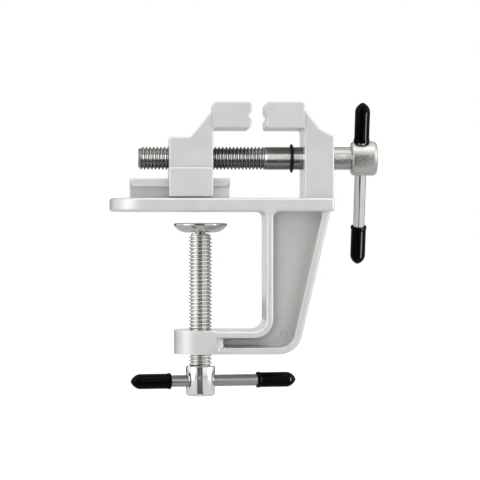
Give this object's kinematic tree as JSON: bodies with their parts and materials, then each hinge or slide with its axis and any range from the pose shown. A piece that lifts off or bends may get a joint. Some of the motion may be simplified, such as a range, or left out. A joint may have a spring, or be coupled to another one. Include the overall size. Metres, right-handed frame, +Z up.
{
  "type": "bench vise",
  "caption": "Clamp-on mini bench vise: cast alloy platform and leg, sliding jaw on a T rail, jaw screw and clamp screw with capped sliding handles.",
  "frame": {"origin": "on the clamp screw's axis, in the middle plane, at the underside of the platform, which rests on the bench", "axes": "+X towards the jaw screw's handle, +Y to the back, +Z up"},
  "size_m": [0.0922, 0.029, 0.1009],
  "materials": {
    "cast_alloy": "die cast aluminium, bead blasted and clear coated, satin",
    "screw_steel": "rolled thread and turned shank, plain steel",
    "plated_steel": "zinc plated, fine grainy turned surface",
    "blackened_steel": "black oxide spring wire, matte",
    "nickel_plate": "bright nickel plate",
    "bar_steel": "drawn and polished steel rod",
    "cap_vinyl": "dip-moulded black vinyl, glossy"
  },
  "bodies": {
    "frame": {"frame_casting": "cast_alloy"},
    "moving_jaw": {"moving_jaw": "cast_alloy"},
    "screw_retainer": {"retaining_ring": "blackened_steel"},
    "jaw_screw": {"jaw_screw": "screw_steel", "jaw_screw_hub": "plated_steel"},
    "jaw_handle": {"jaw_handle_bar": "bar_steel", "jaw_handle_cap_top": "cap_vinyl", "jaw_handle_cap_bottom": "cap_vinyl"},
    "clamp_pad": {"clamp_pad": "nickel_plate"},
    "clamp_screw": {"clamp_screw": "nickel_plate", "clamp_screw_hub": "nickel_plate"},
    "clamp_handle": {"clamp_handle_bar": "bar_steel", "clamp_handle_cap_right": "cap_vinyl", "clamp_handle_cap_left": "cap_vinyl"}
  },
  "joints": [
    {"name": "jaw_slide", "type": "slide", "parent": "frame", "child": "moving_jaw", "axis": [1, 0, 0], "range_m": [-0.0178, 0.005]},
    {"name": "jaw_screw_float", "type": "slide", "parent": "frame", "child": "screw_retainer", "axis": [1, 0, 0], "range_m": [-0.0066, 0.0031]},
    {"name": "jaw_screw_turn", "type": "hinge", "parent": "screw_retainer", "child": "jaw_screw", "pos_m": [0.045, 0, 0.01835], "axis": [-1, 0, 0], "range_deg": [-5120, 1436]},
    {"name": "jaw_handle_slide", "type": "slide", "parent": "jaw_screw", "child": "jaw_handle", "axis": [0, -0.342, 0.9397], "range_m": [0, 0.0187]},
    {"name": "clamp_screw_travel", "type": "slide", "parent": "frame", "child": "clamp_pad", "axis": [0, 0, 1], "range_m": [-0.0332, 0.0039]},
    {"name": "clamp_screw_turn", "type": "hinge", "parent": "clamp_pad", "child": "clamp_screw", "pos_m": [0, 0, -0.03], "axis": [0, 0, 1], "range_deg": [-9555, 1120]},
    {"name": "clamp_handle_slide", "type": "slide", "parent": "clamp_screw", "child": "clamp_handle", "axis": [0.9734, 0.2292, 0], "range_m": [-0.015, 0.0054]}
  ],
  "couplings": [
    {"joint": "jaw_slide", "follows": "jaw_screw_turn", "m_per_rad": 0.00019894},
    {"joint": "clamp_screw_travel", "follows": "clamp_screw_turn", "m_per_rad": 0.00019894}
  ]
}
